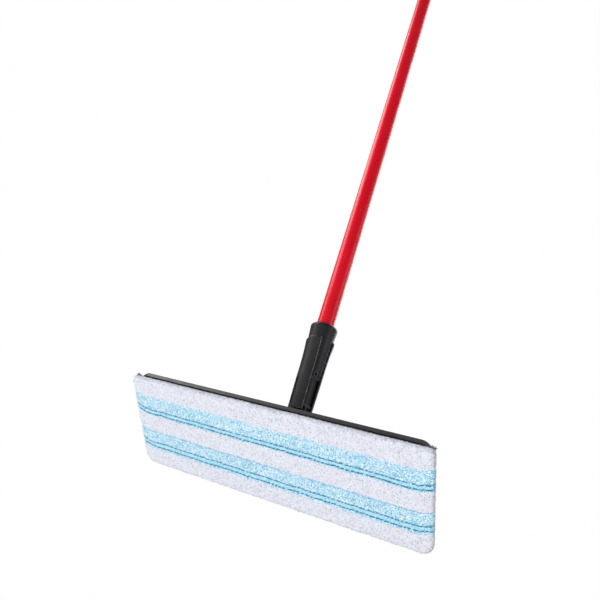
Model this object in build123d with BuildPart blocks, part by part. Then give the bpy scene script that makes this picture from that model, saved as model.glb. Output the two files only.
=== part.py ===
from build123d import *
from math import cos, radians, sin
import os

# Flat mop: a striped microfibre pad held by hook strips under a moulded plate, a swivel joint
# with two crossed pins, and a red tube handle with a grip and a hanging eye.
# Millimetres. The origin is the point of the pad's wiping face straight under the swivel joint.
# +X runs along the pad, +Y points to its rear edge, +Z is up. The handle leans to the front (-Y)
# and a little to -X. The pad sits a little to +X of the plate, as a pad pressed on by hand does.

# Pad
PAD_LENGTH = 360.0
PAD_WIDTH = 118.0
PAD_THICKNESS = 8.0
PAD_OFFSET = 3.0
PAD_FRONT_CORNER = 5.0
PAD_REAR_CORNER = 14.0
PAD_EDGE_ROUND = 3.6
PAD_HEM = 5.0
BACKING_THICKNESS = 1.0
CORE_THICKNESS = 3.0

# Hook strips under the plate
HOOK_THICKNESS = 1.0
HOOK_LENGTH = 326.0
HOOK_WIDTH = 30.0
HOOK_SPACING = 62.0
HOOK_CORNER = 3.0

# Plate
PLATE_LENGTH = 352.0
PLATE_WIDTH = 112.0
PLATE_CORNER = 11.0
PLATE_HEIGHT = 10.0
PLATE_SKIN = 3.0
RIM_THICKNESS = 3.0
RIM_ROUND = 1.4
LIP_RECESS = 2.2
LIP_HEIGHT = 3.0
RIB_THICKNESS = 2.0
RIB_HEIGHT = 5.0
RIB_SPACING_Y = 62.0
RIB_SPACING_X = 44.0
RIB_COUNT_X = 3
RIB_FROM_BOSS = 20.0
BOSS_LENGTH = 82.0
BOSS_WIDTH = 58.0
BOSS_HEIGHT = 4.0
BOSS_CORNER = 6.0

# Bracket on the plate
FLANGE_LENGTH = 68.0
FLANGE_WIDTH = 48.0
FLANGE_THICKNESS = 4.0
FLANGE_ROUND = 1.2
EAR_GAP = 25.0
EAR_THICKNESS = 5.0
EAR_ROUND = 8.5
EAR_FOOT = 32.0
BRACKET_SCREW_X = 50.0
BRACKET_SCREW_Y = 34.0
BRACKET_SCREW_RADIUS = 1.95
BRACKET_SCREW_LENGTH = 9.0
BRACKET_SCREW_CLEARANCE = 0.25
SCREW_HEAD_RADIUS = 3.8
SCREW_HEAD_HEIGHT = 2.4

# Swivel joint
SIDE_PIVOT_HEIGHT = 42.0
PIVOT_DISTANCE = 32.0
SIDE_LEAN = -3.5
HANDLE_LEAN = 41.0
SIDE_PIN_RADIUS = 3.0
SIDE_PIN_HEAD_RADIUS = 5.0
TILT_PIN_RADIUS = 2.5
TILT_PIN_HEAD_RADIUS = 4.4
PIN_HEAD_HEIGHT = 1.3
PIN_TAIL = 2.3
GROOVE_DEPTH = 0.6
GROOVE_WIDTH = 0.9
GROOVE_FROM_END = 1.1
CLIP_THICKNESS = 0.8
CLIP_REACH = 2.2
PIN_CHAMFER = 0.35
FIT_CLEARANCE = 0.02
RUNNING_CLEARANCE = 0.05
SIDE_GAP = 0.3
LOWER_EYE_RADIUS = 8.0
UPPER_EYE_RADIUS = 7.5
KNUCKLE_WIDTH = 11.4
WEB_FOOT_HALF_DEPTH = 10.5
WEB_START = 3.0
WEB_SHOULDER = 6.0
KNUCKLE_ROUND = 0.8

# Handle socket, measured along the handle from the tilt pin
FORK_GAP = 12.0
FORK_HALF_WIDTH = 10.4
FORK_HALF_DEPTH = 7.5
FORK_FLOOR = 9.5
FORK_SLOT_DEPTH = 29.5
NECK_START = 16.0
NECK_RADIUS = 11.6
NECK_FOOT_RADIUS = 12.8
NECK_FOOT_HEIGHT = 3.0
SLEEVE_START = 52.6
SLEEVE_STEP = 1.6
SLEEVE_RADIUS = 14.0
COLLAR_START = 103.0
COLLAR_FOOT_RADIUS = 15.9
COLLAR_TOP = 122.0
COLLAR_RADIUS = 17.4
COLLAR_ROUND = 4.0
COLLAR_MOUTH_CHAMFER = 0.8
SOCKET_FLOOR = 60.0
KEY_SLOT_WIDTH = 2.4
KEY_SLOT_HEIGHT = 5.0
KEY_SLOT_ABOVE_EDGE = 4.6
KEY_SLOT_FORWARD = 8.8

# Cover shells on the socket
SHELL_START = 12.0
SHELL_TOP = 102.6
SHELL_FOOT_RADIUS = 14.8
SHELL_MIDDLE_RADIUS = 15.8
SHELL_WAIST_HEIGHT = 84.0
SHELL_WAIST_RADIUS = 16.6
SHOULDER_RADIUS = 17.8
SHOULDER_EDGE = 3.4
SHOULDER_ROUND = 1.6
SHELL_FOOT_INNER_RADIUS = 13.2
SHELL_INNER_RADIUS = 13.8
TONGUE_WIDTH = 15.0
TONGUE_CORNER = 5.0
REAR_SHELL_REACH = 1.0
REAR_SHELL_TWIST = 8.0
POST_RADIUS = 4.2
SHELL_SCREW_HEIGHTS = (28.0, 43.0)
SHELL_SCREW_RADIUS = 1.5
SHELL_SCREW_CLEARANCE = 0.1
SHELL_SCREW_SEAT = 13.3
SHELL_SCREW_HEAD_RADIUS = 2.8
SHELL_SCREW_HEAD_HEIGHT = 1.5
COUNTERBORE_RADIUS = 3.1

# Tube, grip and hanging eye
TUBE_RADIUS = 11.0
TUBE_WALL = 0.8
TUBE_START = 62.0
TUBE_END = 1212.0
GRIP_LENGTH = 150.0
GRIP_RADIUS = 14.5
GRIP_RINGS = 9
GRIP_RING_SPACING = 13.0
GRIP_FIRST_RING = 22.0
GRIP_RING_DEPTH = 0.9
GRIP_RING_HALF_HEIGHT = 2.6
GRIP_LEAD = 9.0
GRIP_LIP = 1.4
INSERT_LENGTH = 58.0
INSERT_FLOOR = 4.0
INSERT_WALL = 3.5
CAP_PLUG_LENGTH = 30.0
CAP_RADIUS = 14.5
CAP_HEIGHT = 7.0
CAP_ROUND = 3.0
EYE_DISTANCE = 21.0
EYE_RADIUS = 12.5
EYE_HOLE_RADIUS = 6.0
EYE_THICKNESS = 9.0
TUBE_SCREW_HEIGHT = 112.0
TUBE_SCREW_SEAT = 14.0
TUBE_SCREW_RADIUS = 1.9
TUBE_SCREW_LENGTH = 7.5
TUBE_SCREW_HOLE_RADIUS = 2.1
TUBE_SCREW_COUNTERBORE = 4.2

PLATE_BOTTOM = PAD_THICKNESS + HOOK_THICKNESS
PLATE_TOP = PLATE_BOTTOM + PLATE_HEIGHT
SKIN_TOP = PLATE_BOTTOM + PLATE_SKIN
BOSS_TOP = SKIN_TOP + BOSS_HEIGHT
FLANGE_TOP = BOSS_TOP + FLANGE_THICKNESS
EAR_OUTSIDE = EAR_GAP / 2 + EAR_THICKNESS

# Frame of the knuckle: it swings about the side pin (Y), so it leans sideways only.
side = radians(SIDE_LEAN)
lean = radians(HANDLE_LEAN)
cross_dir = Vector(cos(side), 0, -sin(side))
knuckle_dir = Vector(sin(side), 0, cos(side))
side_pivot = Vector(0, 0, SIDE_PIVOT_HEIGHT)
tilt_pivot = side_pivot + knuckle_dir * PIVOT_DISTANCE

# Frame of the handle: it leans forward about the tilt pin, which lies along cross_dir.
handle_dir = Vector(sin(side) * cos(lean), -sin(lean), cos(side) * cos(lean))
rear_dir = handle_dir.cross(cross_dir)
handle_plane = Plane(origin=tilt_pivot, x_dir=cross_dir, z_dir=handle_dir)
profile_plane = Plane(origin=tilt_pivot, x_dir=cross_dir, z_dir=-rear_dir)
cross_plane = Plane(origin=tilt_pivot, x_dir=rear_dir, z_dir=cross_dir)
handle_axis = Axis(tilt_pivot, handle_dir)
twist = radians(REAR_SHELL_TWIST)
shell_cut_plane = Plane(
    origin=tilt_pivot,
    x_dir=cross_dir * cos(twist) + rear_dir * sin(twist),
    z_dir=cross_dir * sin(twist) - rear_dir * cos(twist),
)
knuckle_side_plane = Plane(origin=side_pivot, x_dir=(0, 1, 0), z_dir=cross_dir)
knuckle_eye_plane = Plane(origin=side_pivot, x_dir=cross_dir, z_dir=(0, 1, 0))
side_pin_start = Plane(origin=side_pivot - Vector(0, EAR_OUTSIDE, 0), x_dir=(1, 0, 0), z_dir=(0, 1, 0))
tilt_pin_start = Plane(origin=tilt_pivot + cross_dir * FORK_HALF_WIDTH, x_dir=rear_dir, z_dir=-cross_dir)
post_places = [(0, height) for height in SHELL_SCREW_HEIGHTS]


def save(piece, name):
    """Label one finished piece and write it to its own STEP file."""
    piece.label = name
    export_step(piece, f"parts/{name}.step")


def pad_outline(inset):
    """Draw the pad's outline, set in from its edge, with tighter corners at the front."""
    with Locations((PAD_OFFSET, 0)):
        Rectangle(PAD_LENGTH - 2 * inset, PAD_WIDTH - 2 * inset)
    fillet(vertices().group_by(Axis.Y)[0], PAD_FRONT_CORNER - inset / 2)
    fillet(vertices().group_by(Axis.Y)[-1], PAD_REAR_CORNER - inset / 2)


def pan_head_screw(place, head_radius, head_height, shank_radius, shank_length):
    """A pan head screw whose seat is at the plane and whose shank runs against its normal."""
    with BuildPart() as screw:
        with BuildSketch(place.offset(-shank_length)):
            Circle(shank_radius)
        extrude(amount=shank_length)
        chamfer(screw.edges().group_by(Axis(place.origin, place.z_dir))[0], shank_radius * 0.5)
        with BuildSketch(place):
            Circle(head_radius)
        extrude(amount=head_height)
        fillet(screw.edges().group_by(Axis(place.origin, place.z_dir))[-1], head_height * 0.6)
        with BuildSketch(place.offset(head_height)):
            Rectangle(head_radius * 1.1, head_radius * 0.26)
            Rectangle(head_radius * 0.26, head_radius * 1.1)
        extrude(amount=-head_height * 0.6, mode=Mode.SUBTRACT)
    return screw.part


def rear_place(height, reach):
    """A plane that faces the rear, at a height along the handle and a reach from its axis."""
    return Plane(
        origin=tilt_pivot + handle_dir * height + rear_dir * reach,
        x_dir=-cross_dir,
        z_dir=rear_dir,
    )


def save_pin(name, start, radius, span, head_radius):
    """Save a headed pin that runs through two ears, and the open ring clip in its groove."""
    length = span + PIN_TAIL
    groove_radius = radius - GROOVE_DEPTH
    groove_top = length - GROOVE_FROM_END
    with BuildPart() as pin:
        with BuildSketch(start.offset(-FIT_CLEARANCE)):
            Circle(radius)
        extrude(amount=length)
        chamfer(pin.edges().group_by(Axis(start.origin, start.z_dir))[-1], PIN_CHAMFER)
        with BuildSketch(start.offset(-FIT_CLEARANCE)):
            Circle(head_radius)
        extrude(amount=-PIN_HEAD_HEIGHT)
        chamfer(pin.edges().group_by(Axis(start.origin, start.z_dir))[0], PIN_CHAMFER)
        with BuildSketch(start.offset(groove_top)):
            Circle(radius)
            Circle(groove_radius, mode=Mode.SUBTRACT)
        extrude(amount=-GROOVE_WIDTH, mode=Mode.SUBTRACT)
    save(pin.part, name)
    clip_radius = radius + CLIP_REACH
    with BuildPart() as clip:
        with BuildSketch(start.offset(groove_top - (GROOVE_WIDTH + CLIP_THICKNESS) / 2)):
            Circle(clip_radius)
            Circle(groove_radius + FIT_CLEARANCE, mode=Mode.SUBTRACT)
            with Locations((clip_radius, 0)):
                Rectangle(clip_radius * 2, groove_radius * 1.3, mode=Mode.SUBTRACT)
        extrude(amount=CLIP_THICKNESS)
    save(clip.part, name + "_clip")


os.makedirs("parts", exist_ok=True)

# ---------------------------------------------------------------- pad
POCKET_DEPTH = CORE_THICKNESS + BACKING_THICKNESS

with BuildPart() as pad_face:
    with BuildSketch():
        pad_outline(0)
    extrude(amount=PAD_THICKNESS)
    fillet(pad_face.faces().sort_by(Axis.Z)[0].edges(), PAD_EDGE_ROUND)
    fillet(pad_face.faces().sort_by(Axis.Z)[-1].edges(), PAD_HEM / 2)
    with BuildSketch(Plane.XY.offset(PAD_THICKNESS)):
        pad_outline(PAD_HEM)
    extrude(amount=-POCKET_DEPTH, mode=Mode.SUBTRACT)
save(pad_face.part, "pad_face")

with BuildPart() as pad_core:
    with BuildSketch(Plane.XY.offset(PAD_THICKNESS - POCKET_DEPTH)):
        pad_outline(PAD_HEM + SIDE_GAP)
    extrude(amount=CORE_THICKNESS)
save(pad_core.part, "pad_core")

with BuildPart() as pad_backing:
    with BuildSketch(Plane.XY.offset(PAD_THICKNESS - BACKING_THICKNESS)):
        pad_outline(PAD_HEM)
    extrude(amount=BACKING_THICKNESS)
save(pad_backing.part, "pad_backing")

# ---------------------------------------------------------------- hook strips
for strip_name, strip_side in (("front_hook_strip", -1), ("rear_hook_strip", 1)):
    with BuildPart() as hook_strip:
        with BuildSketch(Plane.XY.offset(PAD_THICKNESS)):
            with Locations((0, strip_side * HOOK_SPACING / 2)):
                RectangleRounded(HOOK_LENGTH, HOOK_WIDTH, HOOK_CORNER)
        extrude(amount=HOOK_THICKNESS)
    save(hook_strip.part, strip_name)

# ---------------------------------------------------------------- plate
with BuildPart() as base_plate:
    with BuildSketch(Plane.XY.offset(PLATE_BOTTOM)):
        RectangleRounded(PLATE_LENGTH, PLATE_WIDTH, PLATE_CORNER)
    extrude(amount=PLATE_HEIGHT)
    fillet(base_plate.faces().sort_by(Axis.Z)[-1].edges(), RIM_ROUND)
    with BuildSketch(Plane.XY.offset(SKIN_TOP)):
        RectangleRounded(
            PLATE_LENGTH - 2 * RIM_THICKNESS,
            PLATE_WIDTH - 2 * RIM_THICKNESS,
            PLATE_CORNER - RIM_THICKNESS,
        )
    extrude(amount=PLATE_HEIGHT, mode=Mode.SUBTRACT)
    # A shallow step all round the lower edge, where the pad's hem tucks under the rim.
    with BuildSketch(Plane.XY.offset(PLATE_BOTTOM)):
        RectangleRounded(PLATE_LENGTH + 2, PLATE_WIDTH + 2, PLATE_CORNER + 1)
        RectangleRounded(
            PLATE_LENGTH - 2 * LIP_RECESS,
            PLATE_WIDTH - 2 * LIP_RECESS,
            PLATE_CORNER - LIP_RECESS,
            mode=Mode.SUBTRACT,
        )
    extrude(amount=LIP_HEIGHT, mode=Mode.SUBTRACT)
    with BuildSketch(Plane.XY.offset(SKIN_TOP)):
        RectangleRounded(BOSS_LENGTH, BOSS_WIDTH, BOSS_CORNER)
    extrude(amount=BOSS_HEIGHT)
    with BuildSketch(Plane.XY.offset(SKIN_TOP)):
        with GridLocations(0, RIB_SPACING_Y, 1, 2):
            Rectangle(PLATE_LENGTH - 2 * RIM_THICKNESS, RIB_THICKNESS)
        for rib in range(RIB_COUNT_X):
            rib_x = BOSS_LENGTH / 2 + RIB_FROM_BOSS + rib * RIB_SPACING_X
            with Locations((rib_x, 0), (-rib_x, 0)):
                Rectangle(RIB_THICKNESS, PLATE_WIDTH - 2 * RIM_THICKNESS)
    extrude(amount=RIB_HEIGHT)
    with BuildSketch(Plane.XY.offset(BOSS_TOP)):
        with GridLocations(BRACKET_SCREW_X, BRACKET_SCREW_Y, 2, 2):
            Circle(BRACKET_SCREW_RADIUS + FIT_CLEARANCE)
    extrude(amount=FLANGE_THICKNESS - BRACKET_SCREW_LENGTH - SIDE_GAP, mode=Mode.SUBTRACT)
save(base_plate.part, "base_plate")

# ---------------------------------------------------------------- bracket
with BuildPart() as bracket:
    with BuildSketch(Plane.XY.offset(BOSS_TOP)):
        RectangleRounded(FLANGE_LENGTH, FLANGE_WIDTH, BOSS_CORNER)
    extrude(amount=FLANGE_THICKNESS)
    fillet(bracket.faces().sort_by(Axis.Z)[-1].edges(), FLANGE_ROUND)
    for ear_side in (-1, 1):
        ear_start = ear_side * EAR_GAP / 2
        with BuildSketch(Plane(origin=(0, ear_start, 0), x_dir=(-ear_side, 0, 0), z_dir=(0, ear_side, 0))):
            with BuildLine():
                foot = EAR_FOOT / 2
                Polyline(
                    (-EAR_ROUND, SIDE_PIVOT_HEIGHT),
                    (-foot, FLANGE_TOP - 1),
                    (foot, FLANGE_TOP - 1),
                    (EAR_ROUND, SIDE_PIVOT_HEIGHT),
                )
                ThreePointArc(
                    (EAR_ROUND, SIDE_PIVOT_HEIGHT),
                    (0, SIDE_PIVOT_HEIGHT + EAR_ROUND),
                    (-EAR_ROUND, SIDE_PIVOT_HEIGHT),
                )
            make_face()
        extrude(amount=EAR_THICKNESS)
    with BuildSketch(Plane.XZ.offset(-EAR_OUTSIDE)):
        with Locations((0, SIDE_PIVOT_HEIGHT)):
            Circle(SIDE_PIN_RADIUS + FIT_CLEARANCE)
    extrude(amount=2 * EAR_OUTSIDE, mode=Mode.SUBTRACT)
    with BuildSketch(Plane.XY.offset(BOSS_TOP)):
        with GridLocations(BRACKET_SCREW_X, BRACKET_SCREW_Y, 2, 2):
            Circle(BRACKET_SCREW_RADIUS + BRACKET_SCREW_CLEARANCE)
    extrude(amount=FLANGE_THICKNESS, mode=Mode.SUBTRACT)
save(bracket.part, "bracket")

screw_places = GridLocations(BRACKET_SCREW_X, BRACKET_SCREW_Y, 2, 2).locations
bracket_screws = Compound(
    children=[
        pan_head_screw(
            Plane(place.position + Vector(0, 0, FLANGE_TOP)),
            SCREW_HEAD_RADIUS,
            SCREW_HEAD_HEIGHT,
            BRACKET_SCREW_RADIUS,
            BRACKET_SCREW_LENGTH,
        )
        for place in screw_places
    ]
)
save(bracket_screws, "bracket_screws")

# ---------------------------------------------------------------- side pin
save_pin("side_pin", side_pin_start, SIDE_PIN_RADIUS, 2 * EAR_OUTSIDE, SIDE_PIN_HEAD_RADIUS)

# ---------------------------------------------------------------- knuckle
with BuildPart() as knuckle:
    # Lower eye, on the side pin
    with BuildSketch(knuckle_eye_plane):
        Circle(LOWER_EYE_RADIUS)
    extrude(amount=EAR_GAP / 2 - SIDE_GAP, both=True)
    # Web and upper eye, on the tilt pin
    web_top = PIVOT_DISTANCE - WEB_SHOULDER
    with BuildSketch(knuckle_side_plane):
        Polygon(
            (-WEB_FOOT_HALF_DEPTH, WEB_START),
            (WEB_FOOT_HALF_DEPTH, WEB_START),
            (UPPER_EYE_RADIUS, web_top),
            (UPPER_EYE_RADIUS, PIVOT_DISTANCE),
            (-UPPER_EYE_RADIUS, PIVOT_DISTANCE),
            (-UPPER_EYE_RADIUS, web_top),
            align=None,
        )
        with Locations((0, PIVOT_DISTANCE)):
            Circle(UPPER_EYE_RADIUS)
    extrude(amount=KNUCKLE_WIDTH / 2, both=True)
    fillet(knuckle.edges().filter_by(GeomType.CIRCLE).group_by(Axis.Y)[0], KNUCKLE_ROUND)
    with BuildSketch(knuckle_eye_plane):
        Circle(SIDE_PIN_RADIUS + RUNNING_CLEARANCE)
    extrude(amount=EAR_GAP, both=True, mode=Mode.SUBTRACT)
    with BuildSketch(cross_plane):
        Circle(TILT_PIN_RADIUS + RUNNING_CLEARANCE)
    extrude(amount=KNUCKLE_WIDTH, both=True, mode=Mode.SUBTRACT)
save(knuckle.part, "knuckle")

# ---------------------------------------------------------------- socket
with BuildPart() as socket:
    with BuildSketch(profile_plane):
        with BuildLine():
            Polyline(
                (0, NECK_START),
                (NECK_FOOT_RADIUS, NECK_START),
                (NECK_FOOT_RADIUS, NECK_START + NECK_FOOT_HEIGHT / 2),
                (NECK_RADIUS, NECK_START + NECK_FOOT_HEIGHT),
                (NECK_RADIUS, SLEEVE_START - SLEEVE_STEP),
                (SHELL_INNER_RADIUS - RUNNING_CLEARANCE, SLEEVE_START - SLEEVE_STEP),
                (SLEEVE_RADIUS, SLEEVE_START),
                (COLLAR_FOOT_RADIUS, COLLAR_START),
                (COLLAR_RADIUS, COLLAR_TOP),
                (TUBE_RADIUS + FIT_CLEARANCE, COLLAR_TOP),
                (TUBE_RADIUS + FIT_CLEARANCE, SOCKET_FLOOR),
                (0, SOCKET_FLOOR),
                close=True,
            )
        make_face()
    revolve(axis=handle_axis)
    collar_edges = socket.edges().filter_by(GeomType.CIRCLE).group_by(handle_axis)[-1]
    fillet(collar_edges.sort_by(SortBy.RADIUS)[-1], COLLAR_ROUND)
    mouth_edges = socket.edges().filter_by(GeomType.CIRCLE).group_by(handle_axis)[-1]
    chamfer(mouth_edges.sort_by(SortBy.RADIUS)[0], COLLAR_MOUTH_CHAMFER)
    # Fork: a block under the neck with a round end about the tilt pin, slotted for the knuckle
    fork_reach = NECK_START + NECK_FOOT_HEIGHT / 2
    with BuildSketch(cross_plane):
        with Locations((0, fork_reach / 2)):
            Rectangle(2 * FORK_HALF_DEPTH, fork_reach)
        Circle(FORK_HALF_DEPTH)
    extrude(amount=FORK_HALF_WIDTH, both=True)
    with BuildSketch(cross_plane):
        with Locations((0, FORK_FLOOR - FORK_SLOT_DEPTH / 2)):
            Rectangle(4 * FORK_HALF_DEPTH, FORK_SLOT_DEPTH)
    extrude(amount=FORK_GAP / 2, both=True, mode=Mode.SUBTRACT)
    with BuildSketch(cross_plane):
        Circle(TILT_PIN_RADIUS + FIT_CLEARANCE)
    extrude(amount=FORK_HALF_WIDTH, both=True, mode=Mode.SUBTRACT)
    # Through holes for the two shell screws
    with BuildSketch(profile_plane):
        with Locations(*post_places):
            Circle(SHELL_SCREW_RADIUS + SHELL_SCREW_CLEARANCE)
    extrude(amount=NECK_RADIUS, both=True, mode=Mode.SUBTRACT)
    # Counterbored hole at the back of the collar for the tube screw
    collar_back = profile_plane.offset(-COLLAR_RADIUS)
    with BuildSketch(collar_back):
        with Locations((0, TUBE_SCREW_HEIGHT)):
            Circle(TUBE_SCREW_HOLE_RADIUS)
    extrude(amount=COLLAR_RADIUS, mode=Mode.SUBTRACT)
    with BuildSketch(collar_back):
        with Locations((0, TUBE_SCREW_HEIGHT)):
            Circle(TUBE_SCREW_COUNTERBORE)
    extrude(amount=COLLAR_RADIUS - TUBE_SCREW_SEAT, mode=Mode.SUBTRACT)
    # Key slots at both sides of the sleeve's lower edge
    with BuildSketch(cross_plane):
        with Locations((-KEY_SLOT_FORWARD, SLEEVE_START + KEY_SLOT_ABOVE_EDGE)):
            RectangleRounded(KEY_SLOT_WIDTH, KEY_SLOT_HEIGHT, KEY_SLOT_WIDTH * 0.45)
    extrude(amount=SLEEVE_RADIUS + SLEEVE_STEP, both=True, mode=Mode.SUBTRACT)
save(socket.part, "socket")

# ---------------------------------------------------------------- tilt pin
save_pin("tilt_pin", tilt_pin_start, TILT_PIN_RADIUS, 2 * FORK_HALF_WIDTH, TILT_PIN_HEAD_RADIUS)

# ---------------------------------------------------------------- cover shells
# The wall that both shells are cut from: a slow taper below, flared to a rounded shoulder.
sleeve_slope = (COLLAR_FOOT_RADIUS - SLEEVE_RADIUS) / (COLLAR_START - SLEEVE_START)
top_inner_radius = SLEEVE_RADIUS + sleeve_slope * (SHELL_TOP - SLEEVE_START) + RUNNING_CLEARANCE
with BuildPart() as shell_wall:
    with BuildSketch(profile_plane):
        with BuildLine():
            Line((SHELL_FOOT_INNER_RADIUS, SHELL_START), (SHELL_FOOT_RADIUS, SHELL_START))
            Line((SHELL_FOOT_RADIUS, SHELL_START), (SHELL_MIDDLE_RADIUS, SLEEVE_START))
            Spline(
                (SHELL_MIDDLE_RADIUS, SLEEVE_START),
                (SHELL_WAIST_RADIUS, SHELL_WAIST_HEIGHT),
                (SHOULDER_RADIUS, SHELL_TOP - SHOULDER_EDGE),
            )
            Polyline(
                (SHOULDER_RADIUS, SHELL_TOP - SHOULDER_EDGE),
                (SHOULDER_RADIUS, SHELL_TOP),
                (top_inner_radius, SHELL_TOP),
                (SLEEVE_RADIUS + RUNNING_CLEARANCE, SLEEVE_START),
                (SHELL_INNER_RADIUS, SLEEVE_START - SLEEVE_STEP),
                (SHELL_FOOT_INNER_RADIUS, SHELL_START),
            )
        make_face()
    revolve(axis=handle_axis)
    shell_top_edges = shell_wall.edges().filter_by(GeomType.CIRCLE).group_by(handle_axis)[-1]
    fillet(shell_top_edges.sort_by(SortBy.RADIUS)[-1], SHOULDER_ROUND)

# The posts start just clear of the neck and end inside the wall.
post_reach = NECK_RADIUS + RUNNING_CLEARANCE
post_end = SHELL_INNER_RADIUS + FIT_CLEARANCE

with BuildPart() as front_shell:
    add(shell_wall.part)
    with BuildSketch(profile_plane):
        with Locations((0, (SHELL_START + SHELL_TOP) / 2)):
            Rectangle(TONGUE_WIDTH, SHELL_TOP - SHELL_START)
        fillet(vertices().group_by(Axis(profile_plane.origin, profile_plane.y_dir))[-1], TONGUE_CORNER)
    extrude(amount=2 * SHOULDER_RADIUS, mode=Mode.INTERSECT)
    with BuildSketch(profile_plane.offset(post_reach)):
        with Locations(*post_places):
            Circle(POST_RADIUS)
    extrude(amount=post_end - post_reach)
    with BuildSketch(profile_plane.offset(post_reach)):
        with Locations(*post_places):
            Circle(SHELL_SCREW_RADIUS)
    extrude(amount=post_end - post_reach, mode=Mode.SUBTRACT)
save(front_shell.part, "front_shell")

with BuildPart() as rear_shell:
    add(shell_wall.part)
    # The cut is turned a little about the handle, so the wall reaches further round on one side.
    with BuildSketch(shell_cut_plane.offset(REAR_SHELL_REACH)):
        with Locations((0, (SHELL_START + SHELL_TOP) / 2)):
            Rectangle(3 * SHOULDER_RADIUS, 2 * SHELL_TOP)
    extrude(amount=-2 * SHOULDER_RADIUS, mode=Mode.INTERSECT)
    with BuildSketch(profile_plane.offset(-post_reach)):
        with Locations(*post_places):
            Circle(POST_RADIUS)
    extrude(amount=post_reach - post_end)
    with BuildSketch(profile_plane.offset(-SHELL_SCREW_SEAT)):
        with Locations(*post_places):
            Circle(COUNTERBORE_RADIUS)
    extrude(amount=-SHELL_MIDDLE_RADIUS, mode=Mode.SUBTRACT)
    with BuildSketch(profile_plane):
        with Locations(*post_places):
            Circle(SHELL_SCREW_RADIUS + SHELL_SCREW_CLEARANCE)
    extrude(amount=-SHELL_MIDDLE_RADIUS, mode=Mode.SUBTRACT)
save(rear_shell.part, "rear_shell")

shell_screws = Compound(
    children=[
        pan_head_screw(
            rear_place(height, SHELL_SCREW_SEAT),
            SHELL_SCREW_HEAD_RADIUS,
            SHELL_SCREW_HEAD_HEIGHT,
            SHELL_SCREW_RADIUS - FIT_CLEARANCE,
            SHELL_SCREW_SEAT + post_end - SIDE_GAP,
        )
        for height in SHELL_SCREW_HEIGHTS
    ]
)
save(shell_screws, "shell_screws")

# ---------------------------------------------------------------- tube
with BuildPart() as tube:
    with BuildSketch(handle_plane.offset(TUBE_START)):
        Circle(TUBE_RADIUS)
        Circle(TUBE_RADIUS - TUBE_WALL, mode=Mode.SUBTRACT)
    extrude(amount=TUBE_END - TUBE_START)
    with BuildSketch(rear_place(TUBE_SCREW_HEIGHT, 0)):
        Circle(TUBE_SCREW_HOLE_RADIUS)
    extrude(amount=2 * TUBE_RADIUS, mode=Mode.SUBTRACT)
save(tube.part, "tube")

insert_radius = TUBE_RADIUS - TUBE_WALL - FIT_CLEARANCE
with BuildPart() as tube_insert:
    with BuildSketch(handle_plane.offset(TUBE_START)):
        Circle(insert_radius)
    extrude(amount=INSERT_LENGTH)
    with BuildSketch(handle_plane.offset(TUBE_START + INSERT_FLOOR)):
        Circle(insert_radius - INSERT_WALL)
    extrude(amount=INSERT_LENGTH, mode=Mode.SUBTRACT)
    with BuildSketch(rear_place(TUBE_SCREW_HEIGHT, 0)):
        Circle(TUBE_SCREW_RADIUS + FIT_CLEARANCE)
    extrude(amount=TUBE_RADIUS, mode=Mode.SUBTRACT)
save(tube_insert.part, "tube_insert")

tube_screw = pan_head_screw(
    rear_place(TUBE_SCREW_HEIGHT, TUBE_SCREW_SEAT),
    SCREW_HEAD_RADIUS,
    SCREW_HEAD_HEIGHT,
    TUBE_SCREW_RADIUS,
    TUBE_SCREW_LENGTH,
)
save(tube_screw, "tube_screw")

# ---------------------------------------------------------------- grip
grip_start = TUBE_END - GRIP_LENGTH
with BuildPart() as grip:
    with BuildSketch(profile_plane):
        with BuildLine():
            Polyline(
                (TUBE_RADIUS + FIT_CLEARANCE, grip_start),
                (TUBE_RADIUS + GRIP_LIP, grip_start),
                (GRIP_RADIUS, grip_start + GRIP_LEAD),
                (GRIP_RADIUS, TUBE_END),
                (TUBE_RADIUS + FIT_CLEARANCE, TUBE_END),
                close=True,
            )
        make_face()
    revolve(axis=handle_axis)
    with BuildSketch(profile_plane):
        for ring in range(GRIP_RINGS):
            ring_height = grip_start + GRIP_FIRST_RING + ring * GRIP_RING_SPACING
            with Locations((GRIP_RADIUS, ring_height)):
                Ellipse(GRIP_RING_DEPTH, GRIP_RING_HALF_HEIGHT)
    revolve(axis=handle_axis, mode=Mode.SUBTRACT)
save(grip.part, "grip")

# ---------------------------------------------------------------- hanging cap
with BuildPart() as hanging_cap:
    with BuildSketch(handle_plane.offset(TUBE_END - CAP_PLUG_LENGTH)):
        Circle(insert_radius)
    extrude(amount=CAP_PLUG_LENGTH)
    with BuildSketch(handle_plane.offset(TUBE_END)):
        Circle(CAP_RADIUS)
    extrude(amount=CAP_HEIGHT)
    fillet(hanging_cap.edges().group_by(handle_axis)[-1], CAP_ROUND)
    with BuildSketch(profile_plane):
        with Locations((0, TUBE_END + EYE_DISTANCE)):
            Circle(EYE_RADIUS)
        with Locations((0, TUBE_END + CAP_HEIGHT / 2 + EYE_DISTANCE / 2)):
            Rectangle(1.5 * EYE_RADIUS, EYE_DISTANCE - CAP_HEIGHT)
    extrude(amount=EYE_THICKNESS / 2, both=True)
    with BuildSketch(profile_plane):
        with Locations((0, TUBE_END + EYE_DISTANCE)):
            Circle(EYE_HOLE_RADIUS)
    extrude(amount=EYE_THICKNESS, both=True, mode=Mode.SUBTRACT)
save(hanging_cap.part, "hanging_cap")
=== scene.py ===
from math import cos, exp, pi, radians, sin
from random import Random

import bmesh
import bpy
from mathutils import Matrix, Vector, noise


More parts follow.
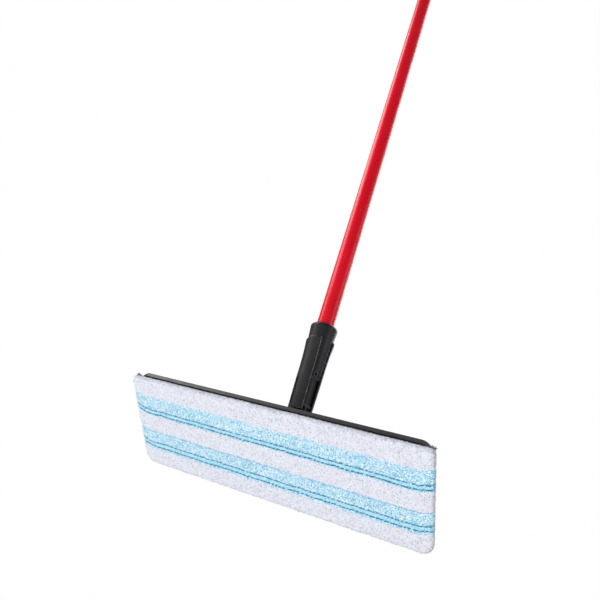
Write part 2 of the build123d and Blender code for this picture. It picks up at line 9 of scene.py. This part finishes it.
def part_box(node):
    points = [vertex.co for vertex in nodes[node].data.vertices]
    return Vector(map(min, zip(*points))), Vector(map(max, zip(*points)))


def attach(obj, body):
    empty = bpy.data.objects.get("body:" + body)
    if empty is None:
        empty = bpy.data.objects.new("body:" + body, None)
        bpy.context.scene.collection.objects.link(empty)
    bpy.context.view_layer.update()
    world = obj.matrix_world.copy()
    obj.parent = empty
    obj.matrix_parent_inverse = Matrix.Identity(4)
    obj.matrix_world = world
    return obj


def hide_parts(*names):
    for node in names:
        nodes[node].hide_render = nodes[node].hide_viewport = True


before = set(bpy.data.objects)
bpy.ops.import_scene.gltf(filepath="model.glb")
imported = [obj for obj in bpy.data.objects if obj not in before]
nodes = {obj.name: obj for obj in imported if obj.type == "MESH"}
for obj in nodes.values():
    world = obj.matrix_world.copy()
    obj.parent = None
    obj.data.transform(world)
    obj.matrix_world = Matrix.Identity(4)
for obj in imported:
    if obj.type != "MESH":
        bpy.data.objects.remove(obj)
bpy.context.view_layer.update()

MM = 0.001

# Camera, at the photograph's viewing angle: below the pad, in front of it and to its right.
CAMERA_PLACE = (0.3029, -0.35779, -0.40529)
CAMERA_TURN = (157.5094, -29.5662, 4.3681)
CAMERA_LENS = 34.13

# The mop is held up, so the floor is well below the pad.
FLOOR_HEIGHT = -0.9

# Stripes across the pad: places and half-widths along Y, in millimetres.
BLUE_BANDS = ((-36.5, -11.6), (10.0, 36.2))
DASHED_LINES = (-19.3, -14.2, 26.2, 32.2)
FAINT_LINE = 11.0
CHANNELS = (-16.7, 29.2)
LINE_REACH = 0.95
FAINT_REACH = 0.5
STITCH_STEP = 5.2

# Near the pad's two ends the stripes turn forward: distances from its middle, in metres.
BEND_START = 166 * MM
BEND_END = 179 * MM
BEND_SHIFT = 4 * MM

# Voxels of the remeshed pieces.
PILE_VOXEL = 0.85 * MM
FILLING_VOXEL = 1.2 * MM
BACKING_VOXEL = 0.7 * MM

# Thread: the sewn edge's radius, stitch length and reach, and the loose tails.
STITCH_RADIUS = 0.24 * MM
STITCH_LENGTH = 2.1 * MM
STITCH_REACH = 1.5 * MM
STITCH_RISE = 0.62 * MM
TAIL_COUNT = 70
TAIL_RADIUS = 0.2 * MM
TAIL_STEP = 0.45 * MM
YARN_LOOPS = 9000


# ------------------------------------------------------------------ camera, light and stage
def add_object(name, data):
    """Link a new object to the scene."""
    made = bpy.data.objects.new(name, data)
    bpy.context.scene.collection.objects.link(made)
    return made


def add_camera():
    """The scene's camera, with no depth of field and no shift."""
    data = bpy.data.cameras.new("camera")
    data.lens = CAMERA_LENS
    data.sensor_width = 36
    data.clip_start = 0.01
    camera = add_object("camera", data)
    camera.location = CAMERA_PLACE
    camera.rotation_euler = [radians(angle) for angle in CAMERA_TURN]
    bpy.context.scene.camera = camera


def add_softbox(name, place, aim, size, power):
    """A soft rectangular light that the camera doesn't see."""
    data = bpy.data.lights.new(name, "AREA")
    data.shape = "RECTANGLE"
    data.size, data.size_y = size
    data.energy = power
    lamp = add_object(name, data)
    lamp.location = place
    lamp.rotation_euler = (Vector(aim) - Vector(place)).to_track_quat("-Z", "Y").to_euler()
    lamp.visible_camera = False


def add_world(seen, given):
    """A white surround: seen is how bright it looks, given is how much light it gives."""
    world = bpy.data.worlds.new("studio")
    world.use_nodes = True
    tree = world.node_tree
    background = tree.nodes["Background"]
    path = tree.nodes.new("ShaderNodeLightPath")
    level = tree.nodes.new("ShaderNodeMapRange")
    level.inputs["To Min"].default_value = given
    level.inputs["To Max"].default_value = seen
    tree.links.new(path.outputs["Is Camera Ray"], level.inputs["Value"])
    tree.links.new(level.outputs["Result"], background.inputs["Strength"])
    background.inputs["Color"].default_value = (1, 1, 1, 1)
    bpy.context.scene.world = world
    bpy.context.scene.view_settings.view_transform = "Standard"


# ------------------------------------------------------------------ materials
class Surface:
    """A Principled material, with short calls for the nodes that drive it."""

    def __init__(self, name, **values):
        self.material = bpy.data.materials.new(name)
        self.material.use_nodes = True
        self.tree = self.material.node_tree
        self.shader = self.tree.nodes["Principled BSDF"]
        for socket, value in values.items():
            self.shader.inputs[socket.replace("_", " ")].default_value = value
        self.place = self.add("ShaderNodeTexCoord").outputs["Object"]

    def add(self, kind, **settings):
        node = self.tree.nodes.new(kind)
        for key, value in settings.items():
            setattr(node, key, value)
        return node

    def put(self, socket, value):
        """Feed a socket from another node, or with a plain value."""
        if isinstance(value, bpy.types.NodeSocket):
            self.tree.links.new(value, socket)
        elif hasattr(value, "__len__") and len(value) == 3 and socket.type == "RGBA":
            socket.default_value = (*value, 1)
        else:
            socket.default_value = value

    def drive(self, socket, value):
        self.put(self.shader.inputs[socket], value)

    def math(self, operation, *values):
        node = self.add("ShaderNodeMath", operation=operation)
        for socket, value in zip(node.inputs, values):
            self.put(socket, value)
        return node.outputs[0]

    def mix(self, factor, first, second):
        node = self.add("ShaderNodeMix", data_type="RGBA")
        self.put(node.inputs[0], factor)
        self.put(node.inputs[6], first)
        self.put(node.inputs[7], second)
        return node.outputs[2]

    def noise(self, size, detail, stretch=(1, 1, 1)):
        """Cloudy noise whose patches are about size metres across."""
        mapping = self.add("ShaderNodeMapping")
        mapping.inputs["Scale"].default_value = [1 / factor for factor in stretch]
        self.put(mapping.inputs["Vector"], self.place)
        node = self.add("ShaderNodeTexNoise")
        node.inputs["Scale"].default_value = 1 / size
        node.inputs["Detail"].default_value = detail
        self.put(node.inputs["Vector"], mapping.outputs[0])
        return node.outputs["Fac"]

    def cells(self, size):
        """Random cells about size metres across."""
        node = self.add("ShaderNodeTexVoronoi")
        node.inputs["Scale"].default_value = 1 / size
        self.put(node.inputs["Vector"], self.place)
        return node

    def span(self, value, low, high, to_low=0.0, to_high=1.0):
        """Value from low to high, as a number from to_low to to_high, held at both ends."""
        node = self.add("ShaderNodeMapRange")
        for socket, number in zip(node.inputs, (value, low, high, to_low, to_high)):
            self.put(socket, number)
        return node.outputs[0]

    def bump(self, height, depth, normal=None):
        node = self.add("ShaderNodeBump")
        node.inputs["Distance"].default_value = depth
        self.put(node.inputs["Height"], height)
        if normal is not None:
            self.put(node.inputs["Normal"], normal)
        return node.outputs[0]

    def rounded(self, radius):
        """The surface's normal with its sharp edges eased, and how near such an edge is."""
        bevel = self.add("ShaderNodeBevel", samples=4)
        bevel.inputs["Radius"].default_value = radius
        sharp = self.add("ShaderNodeNewGeometry").outputs["Normal"]
        dot = self.add("ShaderNodeVectorMath", operation="DOT_PRODUCT")
        self.put(dot.inputs[0], bevel.outputs[0])
        self.put(dot.inputs[1], sharp)
        return bevel.outputs[0], self.span(dot.outputs["Value"], 0.995, 0.82)


def moulded_plastic(name, colour, edge_wear_and_highlight, roughness, grain, depth, edge=0.5 * MM, highlight_from=None):
    """Moulded plastic: a fine grain, a slightly uneven tone, and lighter edges: rubbed wear with a dim edge
    colour, a painted highlight with a pale one.

    The last argument, when given, is the place along X beyond which the edges are lightened: a painted
    highlight on the side where light catches them. Without it every edge is lightened."""
    surface = Surface(name, IOR=1.42, Sheen_Weight=0.06, Sheen_Roughness=0.35, Sheen_Tint=(0.2, 0.28, 1, 1))
    normal, near_edge = surface.rounded(edge)
    tone = surface.span(surface.noise(0.03, 4), 0.35, 0.65)
    body = surface.mix(tone, [c * 0.86 for c in colour], [c * 1.14 for c in colour])
    # Lighter near sharp edges: rubbed wear with a dim edge colour, a painted highlight with a pale one.
    wear_and_highlight_mask = surface.math("MULTIPLY", near_edge, surface.span(surface.noise(0.006, 3), 0.3, 0.6, 0.25, 1))
    # Painted highlight: the edge lightening is kept to the +X side, where light catches the edges.
    if highlight_from is not None:
        split = surface.add("ShaderNodeSeparateXYZ")
        surface.put(split.inputs[0], surface.place)
        side = surface.span(split.outputs["X"], highlight_from - 3 * MM, highlight_from + 3 * MM)
        wear_and_highlight_mask = surface.math("MULTIPLY", wear_and_highlight_mask, side)
    surface.drive("Base Color", surface.mix(wear_and_highlight_mask, body, edge_wear_and_highlight))
    smear = surface.noise(0.012, 5)
    surface.drive("Roughness", surface.span(smear, 0.3, 0.7, roughness - 0.06, roughness + 0.08))
    surface.drive("Normal", surface.bump(surface.noise(grain, 2), depth, normal))
    return surface.material


def turned_steel(name, colour, roughness, stretch):
    """Plated or turned steel with fine marks along the stretched axis."""
    surface = Surface(name, Metallic=1.0)
    normal, near_edge = surface.rounded(0.15 * MM)
    marks = surface.noise(0.0004, 3, stretch)
    stain = surface.span(surface.noise(0.004, 3), 0.4, 0.7)
    body = surface.mix(stain, colour, [c * 0.72 for c in colour])
    surface.drive("Base Color", surface.mix(near_edge, body, [min(1, c * 1.25) for c in colour]))
    surface.drive("Roughness", surface.span(marks, 0.3, 0.7, roughness - 0.08, roughness + 0.12))
    surface.drive("Normal", surface.bump(marks, 0.03 * MM, normal))
    return surface.material


def red_coating():
    """Glossy red powder coat: a faint orange peel, hairline scuffs and dull handling marks."""
    surface = Surface("red_coating", IOR=1.3, Coat_Weight=0.2, Coat_Roughness=0.06, Coat_IOR=1.4)
    normal, near_edge = surface.rounded(0.4 * MM)
    tone = surface.span(surface.noise(0.05, 3), 0.3, 0.7)
    body = surface.mix(tone, (0.70, 0.0, 0.012), (0.78, 0.001, 0.018))
    scuff = surface.span(surface.noise(0.0022, 4, (1, 14, 14)), 0.66, 0.74)
    body = surface.mix(surface.math("MULTIPLY", scuff, 0.16), body, (0.8, 0.25, 0.25))
    surface.drive("Base Color", surface.mix(near_edge, body, (0.8, 0.12, 0.13)))
    handled = surface.noise(0.02, 4)
    surface.drive("Roughness", surface.span(handled, 0.35, 0.75, 0.3, 0.44))
    peel = surface.noise(0.0016, 1)
    surface.drive("Normal", surface.bump(peel, 0.012 * MM, normal))
    return surface.material


def grip_rubber():
    """Soft rubber: fine pores, dust that stays in the grain, and no shine."""
    surface = Surface("grip_rubber", IOR=1.48)
    normal, near_edge = surface.rounded(0.6 * MM)
    dust = surface.span(surface.noise(0.004, 5), 0.5, 0.75, 0, 0.5)
    body = surface.mix(dust, (0.02, 0.02, 0.021), (0.075, 0.073, 0.07))
    surface.drive("Base Color", surface.mix(near_edge, body, (0.05, 0.05, 0.052)))
    surface.drive("Roughness", surface.span(surface.noise(0.008, 3), 0.3, 0.7, 0.66, 0.84))
    surface.drive("Normal", surface.bump(surface.cells(0.5 * MM).outputs["Distance"], 0.05 * MM, normal))
    return surface.material


def hook_tape():
    """Moulded tape covered in small hooks."""
    surface = Surface("hook_tape", IOR=1.5)
    hooks = surface.cells(1.1 * MM)
    body = surface.span(hooks.outputs["Distance"], 0.0, 0.5)
    surface.drive("Base Color", surface.mix(body, (0.07, 0.07, 0.075), (0.02, 0.02, 0.022)))
    surface.drive("Roughness", surface.span(surface.noise(0.003, 2), 0.3, 0.7, 0.42, 0.6))
    surface.drive("Normal", surface.bump(hooks.outputs["Distance"], 0.4 * MM))
    return surface.material


def band(surface, across, low, high, soft):
    """1 between two places along Y, falling to 0 over the soft width at both."""
    rise = surface.span(across, (low - soft) * MM, (low + soft) * MM)
    fall = surface.span(across, (high - soft) * MM, (high + soft) * MM, 1, 0)
    return surface.math("MULTIPLY", rise, fall)


def striped_pile():
    """Looped microfibre: white yarn, two speckled light blue bands, dashed teal lines, one faint line."""
    surface = Surface("striped_pile", Roughness=0.95, Sheen_Weight=0.25, Sheen_Roughness=0.6)
    surface.shader.inputs["Specular IOR Level"].default_value = 0.15
    split = surface.add("ShaderNodeSeparateXYZ")
    surface.put(split.inputs[0], surface.place)
    along = split.outputs["X"]
    sway = surface.span(surface.noise(0.02, 2), 0.2, 0.8, -0.9 * MM, 0.9 * MM)
    reach = surface.math("ABSOLUTE", surface.math("SUBTRACT", along, pad_middle.x))
    bend = surface.span(reach, BEND_START, BEND_END, 0, BEND_SHIFT)
    across = surface.math("ADD", surface.math("ADD", split.outputs["Y"], sway), bend)

    loops = surface.cells(0.9 * MM)
    pick = surface.add("ShaderNodeSeparateColor")
    surface.put(pick.inputs[0], loops.outputs["Color"])
    pick_a, pick_b, pick_c = pick.outputs

    # White ground: each loop its own tint, with wider pinkish and bluish patches.
    patch = surface.span(surface.noise(0.018, 3), 0.35, 0.65)
    ground = surface.mix(patch, (0.72, 0.71, 0.82), (0.72, 0.76, 0.86))
    ground = surface.mix(surface.span(pick_a, 0.0, 1.0, 0.0, 0.6), ground, (0.86, 0.88, 0.94))
    shade = surface.span(pick_b, 0.84, 0.88)
    ground = surface.mix(surface.math("MULTIPLY", shade, 0.6), ground, (0.34, 0.38, 0.48))

    # Light blue bands: blue loops among white ones.
    blue_loop = surface.mix(pick_c, (0.22, 0.60, 0.88), (0.5, 0.80, 0.94))
    blue_share = surface.span(pick_a, 0.46, 0.52)
    speckled = surface.mix(blue_share, (0.78, 0.88, 0.94), blue_loop)
    teal = surface.span(pick_b, 0.78, 0.82)
    speckled = surface.mix(surface.math("MULTIPLY", teal, 0.85), speckled, (0.07, 0.36, 0.55))
    in_band = surface.math("MAXIMUM", *[band(surface, across, low, high, 1.2) for low, high in BLUE_BANDS])
    yarn = surface.mix(in_band, ground, speckled)

    # Between the dashed lines the blue is plainer.
    between = surface.math(
        "MAXIMUM",
        band(surface, across, DASHED_LINES[0], DASHED_LINES[1], 0.5),
        band(surface, across, DASHED_LINES[2], DASHED_LINES[3], 0.5),
    )
    yarn = surface.mix(surface.math("MULTIPLY", between, 0.55), yarn, (0.36, 0.74, 0.92))

    # Dashed teal lines: stitches broken by gaps.
    wobble = surface.span(surface.noise(0.007, 2), 0.2, 0.8, -4 * MM, 4 * MM)
    slant = surface.math("MULTIPLY", split.outputs["Y"], 0.8)
    step = surface.math("ADD", surface.math("ADD", along, wobble), slant)
    beat = surface.math("FRACT", surface.math("MULTIPLY", step, 1 / (STITCH_STEP * MM)))
    dash = surface.span(beat, 0.22, 0.34)
    lines = None
    for place in DASHED_LINES:
        line = band(surface, across, place - LINE_REACH, place + LINE_REACH, 0.4)
        lines = line if lines is None else surface.math("MAXIMUM", lines, line)
    stitched = surface.math("MULTIPLY", lines, surface.math("MAXIMUM", dash, 0.15))
    yarn = surface.mix(stitched, yarn, (0.012, 0.20, 0.36))
    faint = band(surface, across, FAINT_LINE - FAINT_REACH, FAINT_LINE + FAINT_REACH, 0.4)
    faint = surface.math("MULTIPLY", faint, surface.span(pick_c, 0.3, 0.5, 0.1, 0.75))
    yarn = surface.mix(faint, yarn, (0.08, 0.25, 0.5))

    surface.drive("Base Color", yarn)
    fibre = surface.noise(0.35 * MM, 2)
    surface.drive("Normal", surface.bump(fibre, 0.12 * MM))
    return surface.material


def dark_knit():
    """Brushed dark loop knit, fuzzy and uneven."""
    surface = Surface("dark_knit", Roughness=0.95, Sheen_Weight=0.4, Sheen_Roughness=0.5)
    weave = surface.noise(0.0007, 3, (1, 2.5, 1))
    body = surface.span(surface.noise(0.003, 4), 0.35, 0.65)
    surface.drive("Base Color", surface.mix(body, (0.018, 0.019, 0.021), (0.06, 0.062, 0.068)))
    surface.drive("Normal", surface.bump(weave, 0.3 * MM))
    return surface.material


def felt_filling():
    """Needled felt: tangled pale fibres."""
    surface = Surface("felt_filling", Roughness=1.0)
    tangle = surface.noise(0.0012, 5)
    surface.drive("Base Color", surface.mix(tangle, (0.62, 0.61, 0.58), (0.86, 0.85, 0.82)))
    surface.drive("Normal", surface.bump(tangle, 0.4 * MM))
    return surface.material


def overlock_thread():
    """Dark twisted sewing thread."""
    surface = Surface("overlock_thread", Roughness=0.7, Sheen_Weight=0.3)
    ply = surface.noise(0.0003, 2, (1, 1, 3))
    surface.drive("Base Color", surface.mix(ply, (0.02, 0.021, 0.024), (0.085, 0.088, 0.1)))
    surface.drive("Normal", surface.bump(ply, 0.06 * MM))
    return surface.material


def dress(material, *names):
    """Give CAD nodes a material."""
    for name in names:
        nodes[name].data.materials.clear()
        nodes[name].data.materials.append(material)


# ------------------------------------------------------------------ soft pad
pad_low, pad_high = (Vector(corner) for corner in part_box("pad_face"))
core_low, core_high = (Vector(corner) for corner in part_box("pad_core"))
backing_low, backing_high = (Vector(corner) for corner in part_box("pad_backing"))
pad_middle = (pad_low + pad_high) / 2
FRONT_CORNER = 5 * MM
REAR_CORNER = 14 * MM
CORNER_STEPS = 10
SIDE_STEPS = 24


def outline(inset):
    """Points round the pad's outline at an inset from its edge, as (x, y)."""
    half_x = (pad_high.x - pad_low.x) / 2 - inset
    half_y = (pad_high.y - pad_low.y) / 2 - inset
    corners = (
        (half_x, half_y, REAR_CORNER, 0),
        (-half_x, half_y, REAR_CORNER, 90),
        (-half_x, -half_y, FRONT_CORNER, 180),
        (half_x, -half_y, FRONT_CORNER, 270),
    )
    points = []
    for x, y, corner, start in corners:
        radius = max(corner - inset, 0.4 * MM)
        centre = Vector((x - radius * (1 if x > 0 else -1), y - radius * (1 if y > 0 else -1)))
        for step in range(CORNER_STEPS + 1):
            angle = radians(start + 90 * step / CORNER_STEPS)
            points.append(centre + radius * Vector((cos(angle), sin(angle))))
    filled = []
    for here, there in zip(points, points[1:] + points[:1]):
        count = SIDE_STEPS if (there - here).length > 20 * MM else 1
        filled += [here.lerp(there, step / count) for step in range(count)]
    return [(pad_middle.x + p.x, pad_middle.y + p.y) for p in filled]


def lofted(name, profile):
    """A closed form through outlines at (inset, height) pairs, capped at both ends."""
    form = bmesh.new()
    rings = [[form.verts.new((x, y, height)) for x, y in outline(inset)] for inset, height in profile]
    for lower, upper in zip(rings, rings[1:]):
        for i in range(len(lower)):
            j = (i + 1) % len(lower)
            form.faces.new((lower[i], lower[j], upper[j], upper[i]))
    form.faces.new(rings[0][::-1])
    form.faces.new(rings[-1])
    bmesh.ops.recalc_face_normals(form, faces=form.faces)
    mesh = bpy.data.meshes.new(name)
    form.to_mesh(mesh)
    form.free()
    return add_object(name, mesh)


def bake(piece, kind, **settings):
    """Add one modifier and keep its result as the piece's own mesh."""
    modifier = piece.modifiers.new(kind.lower(), kind)
    for key, value in settings.items():
        setattr(modifier, key, value)
    shaped = piece.evaluated_get(bpy.context.evaluated_depsgraph_get())
    mesh = bpy.data.meshes.new_from_object(shaped)
    piece.modifiers.clear()
    piece.data = mesh


def displace(mesh, shift):
    """Move every vertex along its normal by shift(point, normal). All normals are read first."""
    old = [(vertex.co.copy(), vertex.normal.copy()) for vertex in mesh.vertices]
    places = []
    for point, normal in old:
        places.extend(point + normal * shift(point, normal))
    mesh.vertices.foreach_set("co", places)
    mesh.update()


def relief(point, normal):
    """How far the pile stands out at a point: loop bumps, tufts, sway and sewn channels."""
    if point.z > 3.6 * MM and normal.z > 0.5:
        return 0.0
    cell = noise.voronoi(point / (1.9 * MM))[0][0]
    rise = (0.42 - cell) * 0.75 * MM
    rise += noise.noise(point / (6 * MM)) * 0.25 * MM
    rise += noise.noise(point / (38 * MM)) * 0.55 * MM * (1 - abs(normal.z))
    if normal.z < -0.5:
        for place in CHANNELS:
            off = (point.y / MM - place) / 1.6
            rise -= 0.5 * MM * exp(-off * off)
    return rise


def yarn_loops(mesh, count, seed):
    """Vertices and faces of small standing yarn loops, scattered over the pile."""
    chance = Random(seed)
    outer = [face for face in mesh.polygons if face.center.z < 6.6 * MM and face.normal.z < 0.6]
    edge = [face for face in outer if face.normal.z > -0.75]
    verts, faces = [], []
    for number in range(count):
        face = chance.choice(edge if number % 2 else outer)
        inside = abs(face.center.x - pad_middle.x) < 168 * MM and abs(face.center.y) < 52 * MM
        if face.normal.z > -0.5 and inside:
            continue
        up = (face.normal + Vector([chance.uniform(-0.5, 0.5) for _ in range(3)])).normalized()
        side = up.cross(Vector([chance.uniform(-1, 1) for _ in range(3)])).normalized()
        tall = chance.uniform(0.5, 1.3) * MM
        wide = chance.uniform(0.35, 0.7) * MM
        thick = chance.uniform(0.11, 0.18) * MM
        other = up.cross(side)
        base = face.center - up * 0.3 * MM
        arch = [(-0.8, 0.0), (-1.0, 0.6), (0.0, 1.0), (1.0, 0.6), (0.8, 0.0)]
        first = len(verts)
        for out, high in arch:
            centre = base + side * out * wide + up * high * tall
            for spoke in range(3):
                turn = 2 * pi * spoke / 3
                verts.append(centre + (side * cos(turn) + other * sin(turn)) * thick)
        for ring in range(len(arch) - 1):
            for spoke in range(3):
                a = first + ring * 3 + spoke
                b = first + ring * 3 + (spoke + 1) % 3
                faces.append((a, b, b + 3, a + 3))
        last = len(verts) - 3
        faces.append((first + 2, first + 1, first))
        faces.append((last, last + 1, last + 2))
    return verts, faces


def make_pile():
    """The looped face of the pad, bull-nosed at its edges and hemmed over its rim."""
    profile = (
        (4.2, 0.1), (2.7, 0.55), (1.3, 1.35), (0.5, 2.5), (0.35, 4.0),
        (0.7, 5.4), (1.7, 6.5), (3.0, 7.0), (4.1, 6.8), (4.7, 6.0), (4.9, 4.1),
    )
    pile = lofted("pad_pile", [(inset * MM, height * MM) for inset, height in profile])
    bake(pile, "REMESH", mode="VOXEL", voxel_size=PILE_VOXEL)
    mesh = pile.data
    displace(mesh, relief)
    loop_verts, loop_faces = yarn_loops(mesh, YARN_LOOPS, 11)
    start = len(mesh.vertices)
    verts = [vertex.co.copy() for vertex in mesh.vertices] + loop_verts
    faces = [tuple(face.vertices) for face in mesh.polygons]
    faces += [tuple(start + corner for corner in face) for face in loop_faces]
    whole = bpy.data.meshes.new("pad_pile")
    whole.from_pydata(verts, [], faces)
    pile.data = whole
    return pile


def make_filling():
    """The felt inside the pad, softly uneven, inside the pocket of the pile."""
    low, high = core_low.z + 0.35 * MM, core_high.z - 0.25 * MM
    filling = lofted(
        "pad_filling",
        [(6.2 * MM, low), (5.6 * MM, low + 0.5 * MM), (5.6 * MM, high - 0.5 * MM), (6.2 * MM, high)],
    )
    bake(filling, "REMESH", mode="VOXEL", voxel_size=FILLING_VOXEL)
    displace(filling.data, lambda point, normal: noise.noise(point / (9 * MM)) * 0.15 * MM)
    return filling


def make_backing():
    """The dark loop knit over the pad's back, slightly uneven all over."""
    low, high = backing_low.z + 0.15 * MM, backing_high.z - 0.1 * MM
    backing = lofted(
        "pad_backing_knit",
        [(2.6 * MM, low), (2.2 * MM, (low + high) / 2), (2.6 * MM, high)],
    )
    bake(backing, "REMESH", mode="VOXEL", voxel_size=BACKING_VOXEL)
    displace(backing.data, lambda point, normal: noise.noise(point / (1.1 * MM)) * 0.1 * MM)
    return backing


def make_overlock():
    """A dark thread sewn over the edge of the backing all the way round."""
    path = [Vector((x, y, 0)) for x, y in outline(2.9 * MM)]
    lengths = [(b - a).length for a, b in zip(path, path[1:] + path[:1])]
    total = sum(lengths)
    turns = int(total / STITCH_LENGTH)
    per_turn = 8
    centre_z = (backing_low.z + backing_high.z) / 2 - 0.1 * MM
    places, at, walked = [], 0, 0.0
    for number in range(turns * per_turn):
        target = total * number / (turns * per_turn)
        while walked + lengths[at] < target:
            walked += lengths[at]
            at += 1
        here, there = path[at], path[(at + 1) % len(path)]
        ahead = (there - here).normalized()
        outward = Vector((ahead.y, -ahead.x, 0))
        angle = 2 * pi * number / per_turn
        point = here + ahead * (target - walked)
        point += outward * cos(angle) * STITCH_REACH
        point.z = centre_z + sin(angle) * STITCH_RISE
        places.append(point)
    verts, faces = [], []
    sides = 5
    for i, point in enumerate(places):
        ahead = (places[(i + 1) % len(places)] - places[i - 1]).normalized()
        side = ahead.cross(Vector((0, 0, 1))).normalized()
        up = side.cross(ahead)
        for spoke in range(sides):
            turn = 2 * pi * spoke / sides
            verts.append(point + (side * cos(turn) + up * sin(turn)) * STITCH_RADIUS)
    for i in range(len(places)):
        j = (i + 1) % len(places)
        for spoke in range(sides):
            other = (spoke + 1) % sides
            faces.append((i * sides + spoke, i * sides + other, j * sides + other, j * sides + spoke))
    mesh = bpy.data.meshes.new("pad_overlock")
    mesh.from_pydata(verts, [], faces)
    return add_object("pad_overlock", mesh)


def make_thread_ends():
    """Loose tails of the overlock thread at the pad's two front corners."""
    chance = Random(5)
    verts, faces = [], []
    sides, steps = 4, 6
    for end, out in ((pad_low.x, 1), (pad_high.x, -1)):
        for _ in range(TAIL_COUNT):
            point = Vector(
                (
                    end + out * chance.uniform(1.8, 7.5) * MM,
                    pad_low.y + chance.uniform(1.0, 5.0) * MM,
                    backing_high.z + chance.uniform(-1.0, 0.3) * MM,
                )
            )
            heading = Vector((chance.uniform(-1, 1), chance.uniform(-1, 0.3), chance.uniform(0.1, 1.3)))
            for step in range(steps):
                heading.normalize()
                side = heading.orthogonal().normalized()
                up = side.cross(heading)
                for spoke in range(sides):
                    turn = 2 * pi * spoke / sides
                    verts.append(point + (side * cos(turn) + up * sin(turn)) * TAIL_RADIUS)
                if step:
                    last = len(verts) - sides
                    for spoke in range(sides):
                        other = (spoke + 1) % sides
                        before = last - sides
                        faces.append((before + spoke, before + other, last + other, last + spoke))
                point = point + heading * TAIL_STEP
                heading += Vector([chance.uniform(-0.7, 0.7) for _ in range(3)])
    mesh = bpy.data.meshes.new("pad_thread_ends")
    mesh.from_pydata(verts, [], faces)
    return add_object("pad_thread_ends", mesh)


def finish_piece(piece, material):
    """Material, smooth shading and body for a piece of the pad."""
    piece.data.materials.clear()
    piece.data.materials.append(material)
    for face in piece.data.polygons:
        face.use_smooth = True
    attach(piece, "head")


# ------------------------------------------------------------------ the scene
add_camera()
add_world(seen=1.0, given=0.2)
add_softbox("key", (-1.5, -1.3, 0.7), (0, -0.2, 0.2), (1.1, 1.6), 28)
add_softbox("under", (0.0, -0.15, -0.85), (0, 0, 0), (1.4, 1.2), 5.8)
add_softbox("over", (0.3, 0.5, 4.0), (0, 0, 0), (4, 4), 150)
add_softbox("right", (1.5, -0.5, 0.6), (0, -0.2, 0.2), (0.5, 1.4), 5)

floor_mesh = bpy.data.meshes.new("floor")
floor_form = bmesh.new()
bmesh.ops.create_grid(floor_form, x_segments=1, y_segments=1, size=8)
floor_form.to_mesh(floor_mesh)
floor_form.free()
floor = add_object("floor", floor_mesh)
floor.location.z = FLOOR_HEIGHT
floor_paint = Surface("floor_paint", Roughness=0.9)
floor_tone = floor_paint.noise(0.6, 3)
floor_paint.drive("Base Color", floor_paint.mix(floor_tone, (0.84, 0.84, 0.83), (0.88, 0.88, 0.87)))
floor_mesh.materials.append(floor_paint.material)

# Name, colour, edge colour (rubbed wear when dim, a painted highlight when pale), roughness, grain and
# depth, then the eased edge and where the painted edge highlight starts.
plate = moulded_plastic(
    "plate_plastic", (0.024, 0.025, 0.028), (0.09, 0.09, 0.095), 0.44, 0.5 * MM, 0.03 * MM, 0.6 * MM
)
bracket = moulded_plastic(
    "bracket_plastic", (0.022, 0.023, 0.026), (0.09, 0.09, 0.095), 0.46, 0.6 * MM, 0.03 * MM
)
# Joint: its pale edge colour is a painted highlight on the light rim lines at its steps.
joint = moulded_plastic(
    "joint_plastic", (0.008, 0.008, 0.011), (0.5, 0.5, 0.5), 0.42, 0.7 * MM, 0.02 * MM, 0.8 * MM
)
# Front shell: its pale edge colour is a painted highlight line, kept to the +X edges where light catches
# them.
tongue = moulded_plastic(
    "tongue_plastic", (0.014, 0.014, 0.015), (0.6, 0.6, 0.6), 0.42, 0.7 * MM, 0.02 * MM, 1 * MM, -3 * MM
)
shell = moulded_plastic(
    "shell_plastic", (0.012, 0.012, 0.013), (0.1, 0.1, 0.11), 0.42, 0.7 * MM, 0.02 * MM, 0.6 * MM
)
cap = moulded_plastic("cap_plastic", (0.018, 0.018, 0.02), (0.1, 0.1, 0.105), 0.42, 0.8 * MM, 0.03 * MM)
insert = moulded_plastic("insert_plastic", (0.6, 0.6, 0.58), (0.7, 0.7, 0.68), 0.5, 0.8 * MM, 0.03 * MM)
screws = turned_steel("screw_steel", (0.60, 0.60, 0.59), 0.34, (1, 1, 1))
dress(plate, "base_plate")
dress(bracket, "bracket")
dress(joint, "socket", "knuckle")
dress(tongue, "front_shell")
dress(shell, "rear_shell")
dress(cap, "hanging_cap")
dress(insert, "tube_insert")
dress(screws, "bracket_screws", "shell_screws", "tube_screw")
dress(turned_steel("side_pin_steel", (0.66, 0.66, 0.67), 0.26, (1, 12, 1)), "side_pin")
dress(turned_steel("tilt_pin_steel", (0.66, 0.66, 0.67), 0.26, (12, 1, 1)), "tilt_pin")
dress(turned_steel("clip_steel", (0.42, 0.42, 0.44), 0.36, (1, 1, 1)), "side_pin_clip", "tilt_pin_clip")
dress(red_coating(), "tube")
dress(grip_rubber(), "grip")
dress(hook_tape(), "front_hook_strip", "rear_hook_strip")

pile = make_pile()
finish_piece(pile, striped_pile())
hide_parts("pad_face")

filling = make_filling()
finish_piece(filling, felt_filling())
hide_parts("pad_core")

backing = make_backing()
finish_piece(backing, dark_knit())
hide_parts("pad_backing")

thread = overlock_thread()
for piece in (make_overlock(), make_thread_ends()):
    finish_piece(piece, thread)
